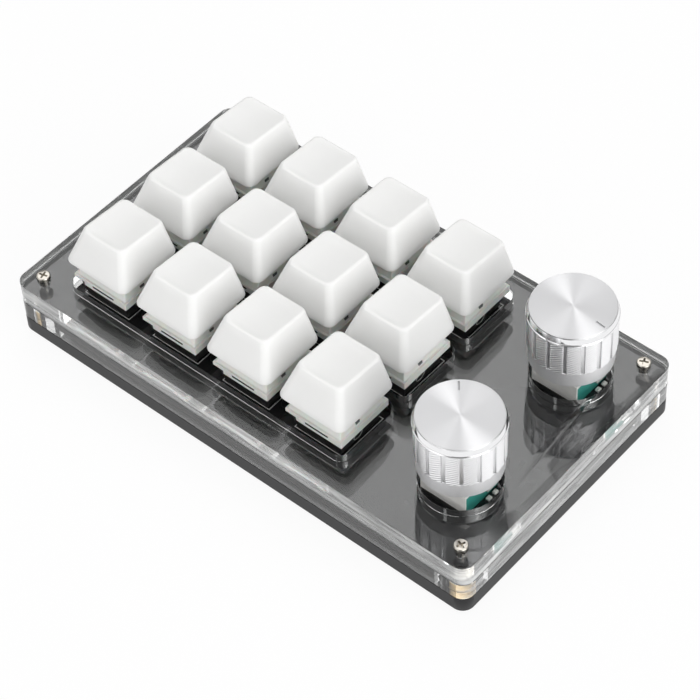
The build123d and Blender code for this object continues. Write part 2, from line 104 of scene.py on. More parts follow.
# Knob
KNOB_TURNS = {"front": 130.0, "rear": 140.1}
POINTER_TURNS = {"front": 130.7, "rear": -5.5}
KNOB_HEIGHT = 15.4 * MM
BAND_RADIUS = 9.8 * MM
BAND_LOW = 4.0 * MM
BAND_HIGH = 13.35 * MM
BAND_CHAMFER = 0.25 * MM
GROOVES = 16
GROOVE_WIDTH = 0.8 * MM
GROOVE_DEPTH = 0.45 * MM
GROOVE_WALL = 0.18 * MM
KNURL_PITCH = 0.7 * MM
KNURL_SLANT = 0.5
KNURL_DEPTH = 0.15 * MM
KNURL_END = 0.15 * MM
KNURL_FADE = 0.2 * MM
POINTER_START = 6.45 * MM
POINTER_END = 8.85 * MM
POINTER_WIDTH = 0.45 * MM
POINTER_DEPTH = 0.3 * MM
GRUB_RADIUS = 1.55 * MM
GRUB_LEVEL = 7.5 * MM
GRUB_FROM = 3.05 * MM
GRUB_TO = 11.0 * MM
GRUB_SIDES = 24

# Turned outline of the knob in millimetres, radius and level, below and above its gripped band
KNOB_SKIRT = (
    (3.1, 13.0), (3.1, 4.5), (7.5, 4.5), (7.5, 0.1), (7.6, 0.0), (9.2, 0.0), (9.4, 0.2), (9.4, 3.95),
)
KNOB_RING = (
    (9.55, 13.37), (9.55, 13.43), (9.92, 13.45), (10.0, 13.52), (10.0, 13.62), (9.86, 13.88), (9.82, 13.9),
    (9.82, 14.02), (9.45, 15.06), (9.42, 15.08), (9.42, 15.26),
)
KNOB_FACE = ((9.4, 15.3), (9.3, 15.38), (9.2, 15.4), (6.0, 15.4), (3.0, 15.4), (0.2, 15.4))

# Springs
SPRING_TURNS = 9
SPRING_STEPS = 20
SPRING_SIDES = 6
SPRING_WIRE = 0.15 * MM

# Screws, latch clips, encoder pins, marks, print and edges
HEAD_RADIUS = 1.6 * MM
HEAD_HEIGHT = 1.2 * MM
HEAD_ROUND = 0.3 * MM
HEAD_CROSS = 2.1 * MM
HEAD_CROSS_BAR = 0.5 * MM
HEAD_CROSS_DEPTH = 0.7 * MM
HEAD_TURNS = (15, 40, 70, 25)
SHANK_RADIUS = 1.0 * MM
SHANK_LENGTH = 6.0 * MM
# Black blocks in the latch slits: the lower housings' clips, also painted shade in the slits
CLIP_LENGTH = 6.3 * MM
CLIP_DEPTH = 0.8 * MM
CLIP_HEIGHT = 0.5 * MM
CLIP_LEVEL = 0.85 * MM
CLIP_OFFSET = 0.9 * MM
CLIP_PROUD = 0.03 * MM
CLIP_CORNER = 0.1 * MM
HOOK_WIDTH = 1.3 * MM
HOOK_HEIGHT = 0.9 * MM
HOOK_REACH = 7.2 * MM
HOOK_SHIFT = -1.5 * MM
PIN_REACH = 6.5 * MM
PIN_PLACES = (1.3 * MM, 3.45 * MM)
PIN_LENGTH = 1.0 * MM
PIN_WIDTH = 1.2 * MM
PIN_HEIGHT = 0.5 * MM
PIN_CORNER = 0.15 * MM
PIN_EDGE = 0.06 * MM
PIN_LIFT = 0.01 * MM
# Black bar along each encoder's front foot: painted shade at the foot
SHADE_BAR_REACH = 5.78 * MM
SHADE_BAR_LENGTH = 11.6 * MM
SHADE_BAR_DEPTH = 0.5 * MM
SHADE_BAR_HEIGHT = 1.45 * MM
POST_FOOT = 2.4 * MM
FLANGE_HEIGHT = 1.9 * MM
HOUSING_FOOT = 12.2 * MM
HOUSING_SLOPE = 0.18
RIM_CORNER = 3.0 * MM
# Raised ring on each lower housing, whose white is a painted highlight
MARK_RADIUS = 1.4 * MM
MARK_LINE = 0.18 * MM
MARK_LEVEL = 2.3 * MM
MARK_SHIFT = -1.0 * MM
MARK_LIFT = 0.06 * MM
PRINT_SQUARE = 13.6 * MM
PRINT_SHIFT = (-0.1 * MM, 0.42 * MM)
PRINT_LINE = 0.2 * MM
PRINT_THICKNESS = 0.02 * MM
PRINT_LIFT = 0.005 * MM
SEAM = 0.04 * MM
CLEAR_EDGE = 0.07 * MM
SLOT_EDGE = 0.1 * MM
WALL_INSET = 1.2 * MM
SAME_POINT = 0.001 * MM
SAME_LEVEL = 0.002 * MM
SOFT_EDGES = {
    "base_plate": 0.25 * MM, "switch_lower_housings": 0.2 * MM, "switch_upper_housings": 0.14 * MM,
    "encoder_covers": 0.15 * MM,
}
GRAIN_HEIGHT = 0.05 * MM


def new_object(name, mesh, place=(0, 0, 0)):
    """Link a mesh into the scene at a place."""
    obj = bpy.data.objects.new(name, mesh)
    obj.location = place
    bpy.context.scene.collection.objects.link(obj)
    return obj


def mesh_from(name, vertices, faces, materials, smooth=35.0, slots=None):
    """Mesh with smooth shading that breaks at edges sharper than an angle."""
    mesh = bpy.data.meshes.new(name)
    mesh.from_pydata([tuple(v) for v in vertices], [], faces)
    for material in materials:
        mesh.materials.append(material)
    if slots is not None:
        mesh.polygons.foreach_set("material_index", slots)
    mesh.validate()
    mesh.shade_smooth()
    mesh.set_sharp_from_angle(angle=math.radians(smooth))
    return mesh


def rounded_rectangle(half_x, half_y, corner, corner_steps=8, edge_steps=6):
    """Points round a rectangle with round corners, counter-clockwise."""
    points = []
    quarters = ((1, 1, 0), (-1, 1, 90), (-1, -1, 180), (1, -1, 270))
    for sign_x, sign_y, start in quarters:
        centre_x = sign_x * (half_x - corner)
        centre_y = sign_y * (half_y - corner)
        for step in range(corner_steps + 1):
            angle = math.radians(start + 90 * step / corner_steps)
            points.append((centre_x + corner * math.cos(angle), centre_y + corner * math.sin(angle)))
        along_y = start in (0, 180)
        span = 2 * ((half_x - corner) if along_y else (half_y - corner))
        last_x, last_y = points[-1]
        for step in range(1, edge_steps):
            travel = span * step / edge_steps
            shift_x = -sign_x * travel if along_y else 0.0
            shift_y = 0.0 if along_y else -sign_y * travel
            points.append((last_x + shift_x, last_y + shift_y))
    return points


def skin(rings, close_low=True, close_high=True):
    """Vertices and faces of a stack of equal rings."""
    count = len(rings[0])
    vertices = [point for ring in rings for point in ring]
    faces = []
    for level in range(len(rings) - 1):
        for i in range(count):
            j = (i + 1) % count
            low, high = level * count, (level + 1) * count
            faces.append((low + i, low + j, high + j, high + i))
    if close_low:
        faces.append(tuple(reversed(range(count))))
    if close_high:
        top = (len(rings) - 1) * count
        faces.append(tuple(top + i for i in range(count)))
    return vertices, faces


# Materials
def nodes_of(name):
    """A new node material, its nodes, its links and its principled shader."""
    material = bpy.data.materials.new(name)
    material.use_nodes = True
    tree = material.node_tree
    shader = next(n for n in tree.nodes if n.type == "BSDF_PRINCIPLED")
    return material, tree.nodes, tree.links, shader


def surface(name, dark, light, roughness, scale, metallic=0.0, bump=0.0, bump_scale=None, **constants):
    """Principled material whose colour and roughness drift over a noise, with fine grain."""
    material, made, links, shader = nodes_of(name)
    place = made.new("ShaderNodeTexCoord")
    noise = made.new("ShaderNodeTexNoise")
    noise.inputs["Scale"].default_value = scale
    noise.inputs["Detail"].default_value = 4.0
    links.new(place.outputs["Object"], noise.inputs["Vector"])
    tint = made.new("ShaderNodeMix")
    tint.data_type = "RGBA"
    tint.inputs["A"].default_value = (*dark, 1.0)
    tint.inputs["B"].default_value = (*light, 1.0)
    links.new(noise.outputs["Fac"], tint.inputs["Factor"])
    links.new(tint.outputs["Result"], shader.inputs["Base Color"])
    gloss = made.new("ShaderNodeMapRange")
    gloss.inputs["To Min"].default_value = roughness[0]
    gloss.inputs["To Max"].default_value = roughness[1]
    links.new(noise.outputs["Fac"], gloss.inputs["Value"])
    links.new(gloss.outputs["Result"], shader.inputs["Roughness"])
    if bump:
        grain = made.new("ShaderNodeTexNoise")
        grain.inputs["Scale"].default_value = bump_scale or scale * 6
        grain.inputs["Detail"].default_value = 3.0
        links.new(place.outputs["Object"], grain.inputs["Vector"])
        relief = made.new("ShaderNodeBump")
        relief.inputs["Strength"].default_value = bump
        relief.inputs["Distance"].default_value = GRAIN_HEIGHT
        links.new(grain.outputs["Fac"], relief.inputs["Height"])
        links.new(relief.outputs["Normal"], shader.inputs["Normal"])
    shader.inputs["Metallic"].default_value = metallic
    for socket, value in constants.items():
        shader.inputs[socket.replace("_", " ")].default_value = value
    return material


def spun_metal(name, dark, light):
    """Aluminium turned on a lathe: fine rings about the axis that stretch its highlights."""
    material, made, links, shader = nodes_of(name)
    place = made.new("ShaderNodeTexCoord")
    rings = made.new("ShaderNodeTexWave")
    rings.wave_type = "RINGS"
    rings.rings_direction = "Z"
    rings.inputs["Scale"].default_value = 1500.0
    rings.inputs["Distortion"].default_value = 0.6
    rings.inputs["Detail"].default_value = 2.0
    links.new(place.outputs["Object"], rings.inputs["Vector"])
    tint = made.new("ShaderNodeMix")
    tint.data_type = "RGBA"
    tint.inputs["A"].default_value = (*dark, 1.0)
    tint.inputs["B"].default_value = (*light, 1.0)
    links.new(rings.outputs["Fac"], tint.inputs["Factor"])
    links.new(tint.outputs["Result"], shader.inputs["Base Color"])
    round_axis = made.new("ShaderNodeTangent")
    round_axis.direction_type = "RADIAL"
    round_axis.axis = "Z"
    links.new(round_axis.outputs["Tangent"], shader.inputs["Tangent"])
    shader.inputs["Metallic"].default_value = 1.0
    shader.inputs["Roughness"].default_value = 0.45
    shader.inputs["Anisotropic"].default_value = 0.95
    shader.inputs["Anisotropic Rotation"].default_value = 0.25
    return material


def clear_acrylic(name, **constants):
    """Clear sheet, faintly uneven."""
    dark, light = (0.965, 0.975, 0.97), (0.985, 0.99, 0.988)
    return surface(name, dark, light, (0.0, 0.015), 60.0, IOR=1.49, **constants)


def cut_acrylic(name, side_scatter, end_scatter):
    """Clear sheet whose cut walls, long sides and ends, scatter a share of the light in long streaks; the
    different shares of long sides and ends paint some walls lighter and others darker.
    """
    material = clear_acrylic(name)
    made, links = material.node_tree.nodes, material.node_tree.links
    shader = next(n for n in made if n.type == "BSDF_PRINCIPLED")
    place = made.new("ShaderNodeTexCoord")
    facing = made.new("ShaderNodeVectorMath")
    facing.operation = "ABSOLUTE"
    links.new(place.outputs["Normal"], facing.inputs[0])
    loss = made.new("ShaderNodeVectorMath")
    loss.operation = "DOT_PRODUCT"
    # Separate shares for long sides and ends: painted light and shade on the walls
    loss.inputs[1].default_value = (-end_scatter, -side_scatter, 0.0)
    links.new(facing.outputs["Vector"], loss.inputs[0])
    stretch = made.new("ShaderNodeMapping")
    stretch.inputs["Scale"].default_value = (0.1, 0.1, 1.0)
    links.new(place.outputs["Object"], stretch.inputs["Vector"])
    streaks = made.new("ShaderNodeTexNoise")
    streaks.inputs["Scale"].default_value = 900.0
    streaks.inputs["Detail"].default_value = 3.0
    links.new(stretch.outputs["Vector"], streaks.inputs["Vector"])
    spread = made.new("ShaderNodeMapRange")
    spread.inputs["From Min"].default_value = 0.35
    spread.inputs["From Max"].default_value = 0.65
    spread.inputs["To Min"].default_value = 0.6
    spread.inputs["To Max"].default_value = 1.4
    links.new(streaks.outputs["Fac"], spread.inputs["Value"])
    share = made.new("ShaderNodeMath")
    share.operation = "MULTIPLY_ADD"
    share.inputs[2].default_value = 1.0
    links.new(loss.outputs["Value"], share.inputs[0])
    links.new(spread.outputs["Result"], share.inputs[1])
    links.new(share.outputs[0], shader.inputs["Transmission Weight"])
    return material


def plated_post(name, level):
    """Brass below a level and bright plate above it."""
    material = surface(name, (0.72, 0.5, 0.22), (0.85, 0.64, 0.34), (0.25, 0.35), 600.0, metallic=1.0)
    made, links = material.node_tree.nodes, material.node_tree.links
    shader = next(n for n in made if n.type == "BSDF_PRINCIPLED")
    place = made.new("ShaderNodeTexCoord")
    split = made.new("ShaderNodeSeparateXYZ")
    links.new(place.outputs["Object"], split.inputs[0])
    above = made.new("ShaderNodeMapRange")
    above.inputs["From Min"].default_value = level - 0.1 * MM
    above.inputs["From Max"].default_value = level + 0.1 * MM
    links.new(split.outputs["Z"], above.inputs["Value"])
    tone = made.new("ShaderNodeMix")
    tone.data_type = "RGBA"
    tone.inputs["B"].default_value = (0.8, 0.8, 0.78, 1.0)
    links.new(above.outputs["Result"], tone.inputs["Factor"])
    links.new(shader.inputs["Base Color"].links[0].from_socket, tone.inputs["A"])
    links.new(tone.outputs["Result"], shader.inputs["Base Color"])
    return material


clear = clear_acrylic("clear_acrylic", Transmission_Weight=1.0)
# The frame and the rim scatter far more on their ends than on their long sides: painted light that makes the
# ends lighter and the long sides darker; the cover's two shares are close
clear_edge = cut_acrylic("clear_cover_edge", 0.32, 0.28)
clear_frame_edge = cut_acrylic("clear_frame_edge", 0.02, 0.24)
clear_rim_edge = cut_acrylic("clear_rim_edge", 0.14, 0.4)
satin_black = surface(
    "satin_black", (0.012, 0.012, 0.013), (0.02, 0.02, 0.021), (0.38, 0.46), 300.0, bump=0.15,
    Specular_IOR_Level=0.3,
)
rubber = surface("rubber", (0.012, 0.012, 0.012), (0.02, 0.02, 0.02), (0.7, 0.85), 500.0, bump=0.3)
mask_black = surface("board_mask", (0.012, 0.012, 0.013), (0.018, 0.018, 0.019), (0.03, 0.045), 40.0)
# White of the board print, also the painted highlight of the housing rings
print_and_highlight_white = surface("board_print", (0.7, 0.7, 0.68), (0.82, 0.82, 0.8), (0.5, 0.6), 900.0)
component = surface("component", (0.02, 0.02, 0.022), (0.05, 0.05, 0.052), (0.45, 0.6), 700.0, bump=0.2)
cap_milk = surface(
    "cap_milk", (0.83, 0.83, 0.82), (0.86, 0.86, 0.85), (0.48, 0.54), 120.0, bump=0.12, bump_scale=5000.0,
    Subsurface_Weight=0.5, Subsurface_Radius=(1.0, 1.0, 1.0), Subsurface_Scale=0.0015,
)
housing_milk = surface(
    "housing_milk", (0.74, 0.75, 0.71), (0.8, 0.81, 0.77), (0.3, 0.38), 250.0, bump=0.08,
    Subsurface_Weight=0.3, Subsurface_Scale=0.001,
)
housing_black = surface("housing_black", (0.008, 0.008, 0.008), (0.014, 0.014, 0.014), (0.4, 0.5), 300.0)
hook_grey = surface("hook_grey", (0.07, 0.07, 0.07), (0.11, 0.11, 0.11), (0.4, 0.5), 300.0)
stem_milk = surface("stem_milk", (0.7, 0.71, 0.68), (0.78, 0.79, 0.76), (0.35, 0.45), 300.0)
aluminium = surface(
    "aluminium", (0.9, 0.9, 0.91), (0.96, 0.96, 0.97), (0.3, 0.38), 1500.0, metallic=1.0, bump=0.1,
)
skirt_metal = surface(
    "turned_skirt", (0.9, 0.9, 0.91), (0.96, 0.96, 0.97), (0.54, 0.6), 1500.0, metallic=1.0,
)
polished = surface("polished_ring", (0.86, 0.86, 0.87), (0.92, 0.92, 0.93), (0.1, 0.16), 900.0, metallic=1.0)
spun = spun_metal("spun_face", (0.72, 0.72, 0.73), (0.78, 0.78, 0.79))
nickel = surface("nickel", (0.46, 0.43, 0.38), (0.62, 0.59, 0.54), (0.12, 0.2), 800.0, metallic=1.0)
# Dull grey for the pointer groove: painted shade inside the groove
pointer_shade_grey = surface("pointer_shade_grey", (0.5, 0.5, 0.51), (0.58, 0.58, 0.59), (0.4, 0.5), 1500.0)
brass = surface("brass", (0.72, 0.5, 0.2), (0.85, 0.64, 0.32), (0.2, 0.3), 600.0, metallic=1.0)
post = plated_post("post", frame_low.z + POST_FOOT)
steel = surface("steel", (0.55, 0.55, 0.55), (0.68, 0.68, 0.67), (0.2, 0.32), 600.0, metallic=1.0)
plated = surface("encoder_plate", (0.84, 0.83, 0.8), (0.95, 0.94, 0.91), (0.5, 0.6), 500.0, metallic=0.6)
teal = surface("encoder_teal", (0.02, 0.2, 0.17), (0.04, 0.3, 0.25), (0.35, 0.45), 500.0)
# Black of the rotors and grub screws, also painted shade on the encoder bars
rotor_black_and_shade = surface("rotor_black_and_shade", (0.015, 0.015, 0.015), (0.03, 0.03, 0.03), (0.4, 0.5), 500.0)


def paint(name, material):
    """Give a CAD node its material."""
    node = nodes[name]
    node.data.materials.clear()
    node.data.materials.append(material)


def paint_frame():
    """Materials of the CAD nodes that stay in view."""
    finishes = {
        "base_plate": satin_black, "rubber_feet": rubber, "circuit_board": mask_black,
        "board_components": component, "usb_socket": steel, "base_screws": nickel, "standoffs": post,
        "switch_lower_housings": housing_black, "switch_upper_housings": housing_milk,
        "switch_contacts": brass, "encoder_bases": teal, "encoder_covers": plated,
    }
    for name, material in finishes.items():
        paint(name, material)
    for key in KEYS:
        paint(f"stem_{key}", stem_milk)
    for place in KNOBS:
        paint(f"encoder_rotor_{place}", rotor_black_and_shade)
        paint(f"encoder_shaft_{place}", steel)
        paint(f"knob_grub_screw_{place}", rotor_black_and_shade)


def soften(name, width):
    """Round the edges of a CAD node with modifiers."""
    node = nodes[name]
    weld = node.modifiers.new("weld", "WELD")
    weld.merge_threshold = SAME_POINT
    bevel = node.modifiers.new("edges", "BEVEL")
    bevel.width = width
    bevel.segments = 2
    bevel.limit_method = "ANGLE"
    bevel.angle_limit = math.radians(40)


def chamfer(shape, edges, width):
    """Chamfer some edges of a bmesh."""
    bmesh.ops.bevel(
        shape, geom=edges, offset=width, offset_type="OFFSET", segments=1, profile=0.5, affect="EDGES",
        clamp_overlap=True,
    )


def clear_piece(node, name, shifts, edge_material):
    """Copy of a clear node with chamfered edges, drawn back by a seam where it touches a neighbour."""
    low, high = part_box(node)
    shape = bmesh.new()
    shape.from_mesh(nodes[node].data)
    bmesh.ops.remove_doubles(shape, verts=shape.verts, dist=SAME_POINT)
    for vertex in shape.verts:
        for level, shift in shifts:
            if abs(vertex.co.z - level) < SAME_LEVEL:
                vertex.co.z += shift
                break
    bmesh.ops.dissolve_limit(
        shape, angle_limit=math.radians(1), verts=shape.verts, edges=shape.edges, delimit=set(),
    )

    def outside(point):
        """Whether a point lies near the outer wall."""
        within_x = low.x + WALL_INSET < point.x < high.x - WALL_INSET
        within_y = low.y + WALL_INSET < point.y < high.y - WALL_INSET
        return not (within_x and within_y)

    for inner, width in ((True, SLOT_EDGE), (False, CLEAR_EDGE)):
        sharp = [
            edge for edge in shape.edges
            if len(edge.link_faces) == 2 and edge.calc_face_angle(0.0) > math.radians(50)
            and all(outside(vertex.co) != inner for vertex in edge.verts)
        ]
        chamfer(shape, sharp, width)
    bmesh.ops.recalc_face_normals(shape, faces=shape.faces)
    for face in shape.faces:
        upright = abs(face.normal.z) < 0.2
        face.material_index = int(upright and all(outside(vertex.co) for vertex in face.verts))
    mesh = bpy.data.meshes.new(name)
    shape.to_mesh(mesh)
    shape.free()
    mesh.materials.append(clear)
    mesh.materials.append(edge_material)
    mesh.shade_smooth()
    mesh.set_sharp_from_angle(angle=math.radians(32))
    piece = new_object(name, mesh)
    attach(piece, "case")
    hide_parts(node)


def clear_case():
    """The clear cover and the clear frame below it."""
    clear_piece("top_cover", "clear_cover", ((cover_low.z, SEAM),), clear_edge)
    clear_piece("middle_frame", "clear_frame", ((frame_low.z, SEAM), (frame_high.z, -SEAM)), clear_frame_edge)


def cap_mesh():
    """Keycap: tapered, softly rounded, dished across, hollow below, with its foot at the origin."""
    middle_height = (CAP_FRONT + CAP_BACK) / 2
    slope = (CAP_FRONT - CAP_BACK) / CAP_TOP_DEPTH
    dish_half = CAP_TOP_LENGTH / 2

    def outline(share, inset=0.0, drop=0.0, dish=0.0):
        """Ring at a share of the height, drawn in by inset and lowered by drop."""
        half_x = (CAP_SIZE + (CAP_TOP_LENGTH - CAP_SIZE) * share) / 2 - inset
        half_y = (CAP_SIZE + (CAP_TOP_DEPTH - CAP_SIZE) * share) / 2 - inset
        corner = CAP_LOW_CORNER + (CAP_TOP_CORNER - CAP_LOW_CORNER) * share
        ring = []
        for x, y in rounded_rectangle(half_x, half_y, max(corner - inset * 0.5, 0.3 * MM)):
            height = share * (middle_height - slope * y) - drop
            height -= dish * CAP_DISH * max(0.0, 1 - (x / dish_half) ** 2)
            ring.append(Vector((x, y + CAP_SETBACK * share, height)))
        return ring

    lip = 0.25 * MM
    rings = [outline(0.0, inset=lip)]
    rings += [outline(0.012, inset=lip * 0.3), outline(0.03)]
    rings += [outline(share) for share in (0.2, 0.4, 0.6, 0.75)]
    edge_share = CAP_EDGE / middle_height
    steps = 7
    for step in range(steps + 1):
        angle = math.radians(90 * step / steps)
        share = 1 - edge_share * (1 - math.sin(angle))
        inset = CAP_EDGE * (1 - math.cos(angle))
        rings.append(outline(share, inset=inset, dish=step / steps))
    rim = (CAP_TOP_LENGTH / 2 - CAP_EDGE, CAP_TOP_DEPTH / 2 - CAP_EDGE)
    for share in (0.8, 0.6, 0.4, 0.2, 0.05):
        ring = []
        for x, y in rounded_rectangle(rim[0] * share, rim[1] * share, CAP_TOP_CORNER * 0.6 * share):
            height = middle_height - slope * y - CAP_DISH * max(0.0, 1 - (x / dish_half) ** 2)
            ring.append(Vector((x, y + CAP_SETBACK, height)))
        rings.append(ring)
    inner = []
    hollow = CAP_HOLLOW / middle_height
    for share in (hollow, 0.0):
        half_x = (CAP_SIZE + (CAP_TOP_LENGTH - CAP_SIZE) * share) / 2 - CAP_WALL
        half_y = (CAP_SIZE + (CAP_TOP_DEPTH - CAP_SIZE) * share) / 2 - CAP_WALL
        outline_points = rounded_rectangle(half_x, half_y, CAP_LOW_CORNER - lip)
        inner.append([Vector((x, y + CAP_SETBACK * share, share * middle_height)) for x, y in outline_points])
    vertices, faces = skin(inner + rings)
    return mesh_from("cap", vertices, faces, [cap_milk], smooth=50)


def keycaps():
    """Twelve caps of one shape, each on its key."""
    mesh = cap_mesh()
    for key in KEYS:
        cap = new_object(f"cap_{key}", mesh, middle(f"keycap_{key}"))
        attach(cap, f"key_{key}")
        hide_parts(f"keycap_{key}")


def band_radius(angle, level):
    """Radius of the gripped band: a groove in each sector and slanting ridges on the panels between."""
    sector = 2 * math.pi / GROOVES
    from_groove = abs((angle + sector / 2) % sector - sector / 2) * BAND_RADIUS
    into = min(1.0, max(0.0, (GROOVE_WIDTH / 2 + GROOVE_WALL / 2 - from_groove) / GROOVE_WALL))
    depth = GROOVE_DEPTH * into * into * (3 - 2 * into)
    phase = ((level - KNURL_SLANT * angle * BAND_RADIUS) / KNURL_PITCH) % 1.0
    ridge = abs(2 * phase - 1)
    end = min(level - BAND_LOW, BAND_HIGH - level)
    fade = min(1.0, max(0.0, (end - KNURL_END) / KNURL_FADE)) * (1 - into)
    cut_back = max(0.0, BAND_CHAMFER - end)
    return BAND_RADIUS - depth - KNURL_DEPTH * ridge * fade - cut_back


def lathe(profile, angles):
    """Rings of a turned outline of radii and levels."""
    return [[(r * math.cos(a), r * math.sin(a), z) for a in angles] for r, z in profile]


def prism(outline, low, high):
    """Mesh of an outline raised from one level to another."""
    rings = [[(x, y, z) for x, y in outline] for z in (low, high)]
    vertices, faces = skin(rings)
    mesh = bpy.data.meshes.new("cutter")
    mesh.from_pydata(vertices, [], faces)
    return mesh


def carve(mesh, cutters):
    """Mesh with each cutter taken away."""
    body = new_object("carved", mesh)
    tools = []
    for cutter in cutters:
        tool = new_object("cutter", cutter)
        cut = body.modifiers.new("cut", "BOOLEAN")
        cut.object = tool
        cut.operation = "DIFFERENCE"
        cut.solver = "EXACT"
        tools.append(tool)
    bpy.context.view_layer.update()
    shaped = bpy.data.meshes.new_from_object(body.evaluated_get(bpy.context.evaluated_depsgraph_get()))
    for used in (body, *tools):
        bpy.data.objects.remove(used)
    return shaped


def knob_mesh(pointer):
    """Turned knob, its foot at the origin, its pointer groove at an angle from the grub screw."""
    sector_steps = 36
    band_steps = 90
    count = GROOVES * sector_steps
    angles = [2 * math.pi * i / count for i in range(count)]
    rings = lathe([(r * MM, z * MM) for r, z in KNOB_SKIRT], angles)
    for step in range(band_steps + 1):
        level = BAND_LOW + (BAND_HIGH - BAND_LOW) * step / band_steps
        radii = [band_radius(a, level) for a in angles]
        rings.append([(r * math.cos(a), r * math.sin(a), level) for r, a in zip(radii, angles)])
    rings += lathe([(r * MM, z * MM) for r, z in KNOB_RING + KNOB_FACE], angles)
    slots = [3] * len(KNOB_SKIRT) + [0] * (band_steps + 1) + [1] * (len(KNOB_RING) - 1) + [2] * len(KNOB_FACE)
    vertices, faces = skin(rings)
    used = [slots[level] for level in range(len(rings) - 1) for _ in range(count)] + [0, 2]
    finishes = [aluminium, polished, spun, skirt_metal, pointer_shade_grey]
    mesh = mesh_from("knob", vertices, faces, finishes, slots=used)
    half = POINTER_WIDTH / 2
    groove = prism(
        [(POINTER_START, -half), (POINTER_END, -half), (POINTER_END, half), (POINTER_START, half)],
        KNOB_HEIGHT - POINTER_DEPTH, KNOB_HEIGHT + 1 * MM,
    )
    groove.transform(Matrix.Rotation(pointer, 4, "Z"))
    # The groove's faces take the dull grey: painted shade in the groove
    groove.polygons.foreach_set("material_index", [4] * len(groove.polygons))
    turns = [2 * math.pi * i / GRUB_SIDES for i in range(GRUB_SIDES)]
    circle = [(GRUB_RADIUS * math.cos(a), GRUB_RADIUS * math.sin(a)) for a in turns]
    bore = prism(circle, GRUB_FROM, GRUB_TO)
    bore.transform(Matrix.Translation((0, 0, GRUB_LEVEL)) @ Matrix.Rotation(math.radians(90), 4, "Y"))
    shaped = carve(mesh, (groove, bore))
    shaped.shade_smooth()
    shaped.set_sharp_from_angle(angle=math.radians(24))
    return shaped


def knobs():
    """Two knobs, each turned to its place."""
    for place in KNOBS:
        pointer = math.radians(POINTER_TURNS[place] - KNOB_TURNS[place])
        knob = new_object(f"turned_knob_{place}", knob_mesh(pointer), middle(f"encoder_rotor_{place}"))
        knob.location.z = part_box(f"knob_{place}")[0].z
        knob.rotation_euler.z = math.radians(KNOB_TURNS[place])
        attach(knob, f"{place}_knob")
        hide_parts(f"knob_{place}")


def screw_heads():
    """Pan heads with a cross recess, standing on the deck, and their shanks."""
    count, steps = 40, 6
    angles = [2 * math.pi * i / count for i in range(count)]
    shoulder = HEAD_HEIGHT - HEAD_ROUND
    profile = [
        (SHANK_RADIUS, -SHANK_LENGTH), (SHANK_RADIUS, 0.0),
        (HEAD_RADIUS - 0.05 * MM, 0.01 * MM), (HEAD_RADIUS, 0.08 * MM), (HEAD_RADIUS, shoulder),
    ]
    for step in range(1, steps + 1):
        angle = math.radians(75 * step / steps)
        radius = HEAD_RADIUS - HEAD_ROUND * (1 - math.cos(angle))
        profile.append((radius, shoulder + HEAD_ROUND * math.sin(angle)))
    profile.append((0.03 * MM, HEAD_HEIGHT))
    vertices, faces = skin(lathe(profile, angles))
    bars = []
    for length, bar in ((HEAD_CROSS / 2, HEAD_CROSS_BAR / 2), (HEAD_CROSS_BAR / 2, HEAD_CROSS / 2)):
        outline = [(-length, -bar), (length, -bar), (length, bar), (-length, bar)]
        bars.append(prism(outline, HEAD_HEIGHT - HEAD_CROSS_DEPTH, HEAD_HEIGHT + 0.2 * MM))
    head = carve(mesh_from("screw_head", vertices, faces, [nickel]), bars)
    low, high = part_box("cover_screws")
    places = [
        (x, y)
        for x in (low.x + HEAD_RADIUS, high.x - HEAD_RADIUS)
        for y in (low.y + HEAD_RADIUS, high.y - HEAD_RADIUS)
    ]
    whole = bmesh.new()
    for (x, y), turn in zip(places, HEAD_TURNS):
        copy = head.copy()
        copy.transform(Matrix.Translation((x, y, deck)) @ Matrix.Rotation(math.radians(turn), 4, "Z"))
        whole.from_mesh(copy)
    mesh = bpy.data.meshes.new("case_screws")
    whole.to_mesh(mesh)
    whole.free()
    mesh.materials.append(nickel)
    mesh.shade_smooth()
    mesh.set_sharp_from_angle(angle=math.radians(35))
    screws = new_object("case_screws", mesh)
    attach(screws, "case")
    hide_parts("cover_screws")


def springs():
    """Wound springs, foot on the case and top on the key."""
    sides = [2 * math.pi * i / SPRING_SIDES for i in range(SPRING_SIDES)]
    steps = SPRING_TURNS * SPRING_STEPS
    for key in KEYS:
        low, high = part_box(f"spring_{key}")
        centre = (low + high) / 2
        reach = (high.x - low.x) / 2 - SPRING_WIRE
        foot, top = low.z + SPRING_WIRE, high.z - SPRING_WIRE
        rings = []
        for step in range(steps + 1):
            angle = 2 * math.pi * step / SPRING_STEPS
            share = (step - SPRING_STEPS) / (steps - 2 * SPRING_STEPS)
            level = foot + (top - foot) * min(1.0, max(0.0, share))
            out = Vector((math.cos(angle), math.sin(angle), 0))
            spot = Vector((centre.x, centre.y, level)) + out * reach
            section = [out * math.cos(a) + Vector((0, 0, math.sin(a))) for a in sides]
            rings.append([spot + point * SPRING_WIRE for point in section])
        vertices, faces = skin(rings)
        coil = new_object(f"coil_{key}", mesh_from(f"coil_{key}", vertices, faces, [steel], smooth=60))
        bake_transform(coil)
        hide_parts(f"spring_{key}")


